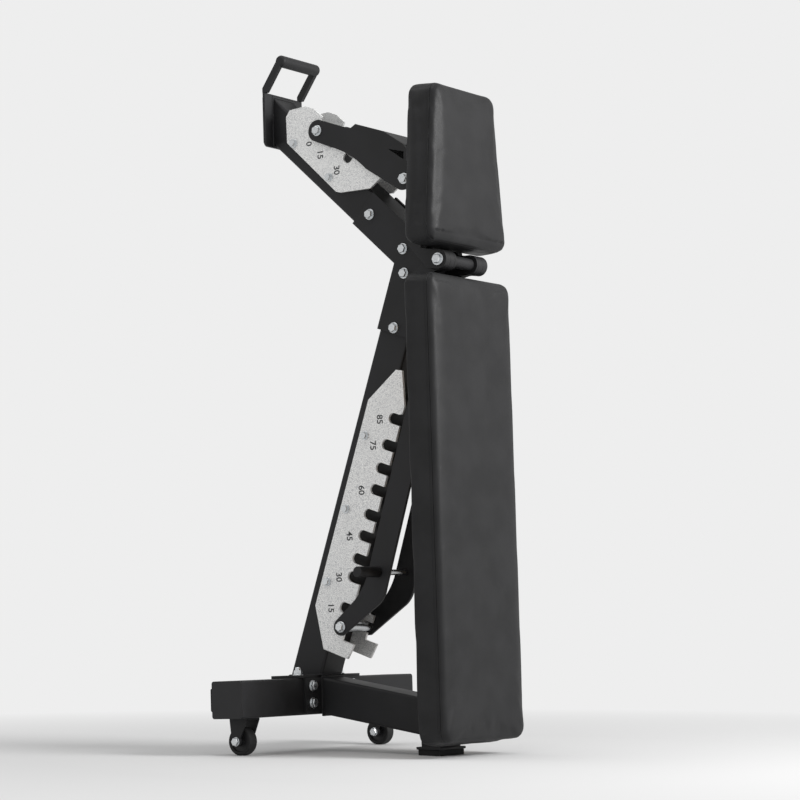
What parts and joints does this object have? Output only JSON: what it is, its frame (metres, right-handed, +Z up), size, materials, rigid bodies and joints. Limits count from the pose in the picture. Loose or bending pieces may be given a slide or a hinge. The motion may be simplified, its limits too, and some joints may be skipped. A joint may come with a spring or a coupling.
{
  "type": "adjustable weight bench",
  "caption": "Adjustable weight bench stored on end: steel spine, hinged back and seat pads, struts with rollers in slotted ladder plates, two wheels and a handle.",
  "frame": {"origin": "middle of the storage foot's rest face, on the floor", "axes": "+Z up, +X towards the pads' faces, +Y across the bench to its far side"},
  "size_m": [0.5231, 0.604, 1.4607],
  "materials": {
    "black_powder_coat": "matte black powder coat",
    "silver_vein_coat": "silver hammered coat",
    "zinc_plate": "bright zinc plate",
    "bright_steel": "turned steel",
    "foot_rubber": "matte moulded rubber",
    "grip_rubber": "satin rubber sleeve",
    "black_plastic": "moulded plastic",
    "wheel_rubber": "matte tyre rubber",
    "plywood": "unpainted board",
    "black_vinyl": "grained upholstery vinyl"
  },
  "bodies": {
    "frame": {"back_ladder_far": "silver_vein_coat", "back_ladder_near": "silver_vein_coat", "base_bolts": "zinc_plate", "base_plate": "black_powder_coat", "far_wheel_fork": "black_powder_coat", "foot_stub": "black_powder_coat", "front_beam": "black_powder_coat", "front_foot_pads": "foot_rubber", "front_foot_plate": "black_powder_coat", "front_handle": "black_powder_coat", "hinge_bolts": "zinc_plate", "hinge_shaft": "black_powder_coat", "joint_bolts": "zinc_plate", "joint_plate_far": "black_powder_coat", "joint_plate_near": "black_powder_coat", "ladder_bolts": "zinc_plate", "main_beam": "black_powder_coat", "near_wheel_fork": "black_powder_coat", "post_end_cap": "black_plastic", "post_flange": "black_powder_coat", "rear_cross_tube": "black_powder_coat", "rear_end_caps": "black_plastic", "rear_floor_pads": "foot_rubber", "rear_post": "black_powder_coat", "seat_ladder_far": "silver_vein_coat", "seat_ladder_near": "silver_vein_coat", "storage_foot": "foot_rubber", "wheel_axle_bolts": "zinc_plate"},
    "near_wheel": {"near_wheel_hub": "black_plastic", "near_wheel_tyre": "wheel_rubber"},
    "far_wheel": {"far_wheel_hub": "black_plastic", "far_wheel_tyre": "wheel_rubber"},
    "back_rest": {"back_pad": "black_vinyl", "back_board": "plywood", "back_straps": "black_powder_coat", "back_pad_screws": "zinc_plate", "back_spine": "black_powder_coat", "back_yoke": "black_powder_coat", "back_strut_lugs": "black_powder_coat", "back_strut_pin": "zinc_plate"},
    "back_strut": {"back_strut_arm_near": "black_powder_coat", "back_strut_arm_far": "black_powder_coat", "back_strut_roller": "bright_steel", "back_strut_roller_bolts": "zinc_plate", "back_strut_bar": "bright_steel", "back_strut_grips": "grip_rubber"},
    "seat": {"seat_pad": "black_vinyl", "seat_board": "plywood", "seat_straps": "black_powder_coat", "seat_pad_screws": "zinc_plate", "seat_spine": "black_powder_coat", "seat_yoke": "black_powder_coat", "seat_strut_lugs": "black_powder_coat", "seat_strut_pin": "zinc_plate"},
    "seat_strut": {"seat_strut_arm_near": "black_powder_coat", "seat_strut_arm_far": "black_powder_coat", "seat_strut_roller": "bright_steel", "seat_strut_roller_bolts": "zinc_plate", "seat_strut_web": "black_powder_coat"}
  },
  "joints": [
    {"name": "near_wheel_spin", "type": "hinge", "parent": "frame", "child": "near_wheel", "pos_m": [-0.31878, -0.241, 0.02812], "axis": [0, 1, 0], "continuous": true},
    {"name": "far_wheel_spin", "type": "hinge", "parent": "frame", "child": "far_wheel", "pos_m": [-0.31878, 0.241, 0.02812], "axis": [0, 1, 0], "continuous": true},
    {"name": "back_recline", "type": "hinge", "parent": "frame", "child": "back_rest", "pos_m": [0.04419, 0, 0.99542], "axis": [0, -1, 0], "range_deg": [0, 85]},
    {"name": "back_strut_swing", "type": "hinge", "parent": "back_rest", "child": "back_strut", "pos_m": [-0.01266, 0, 0.69708], "axis": [0, -1, 0], "range_deg": [0, 17]},
    {"name": "seat_tilt", "type": "hinge", "parent": "frame", "child": "seat", "pos_m": [0.04419, 0, 0.99542], "axis": [0, 1, 0], "range_deg": [0, 30]},
    {"name": "seat_strut_lift", "type": "hinge", "parent": "seat", "child": "seat_strut", "pos_m": [-0.05546, 0, 1.1708], "axis": [0, 1, 0], "range_deg": [0, 12]}
  ]
}
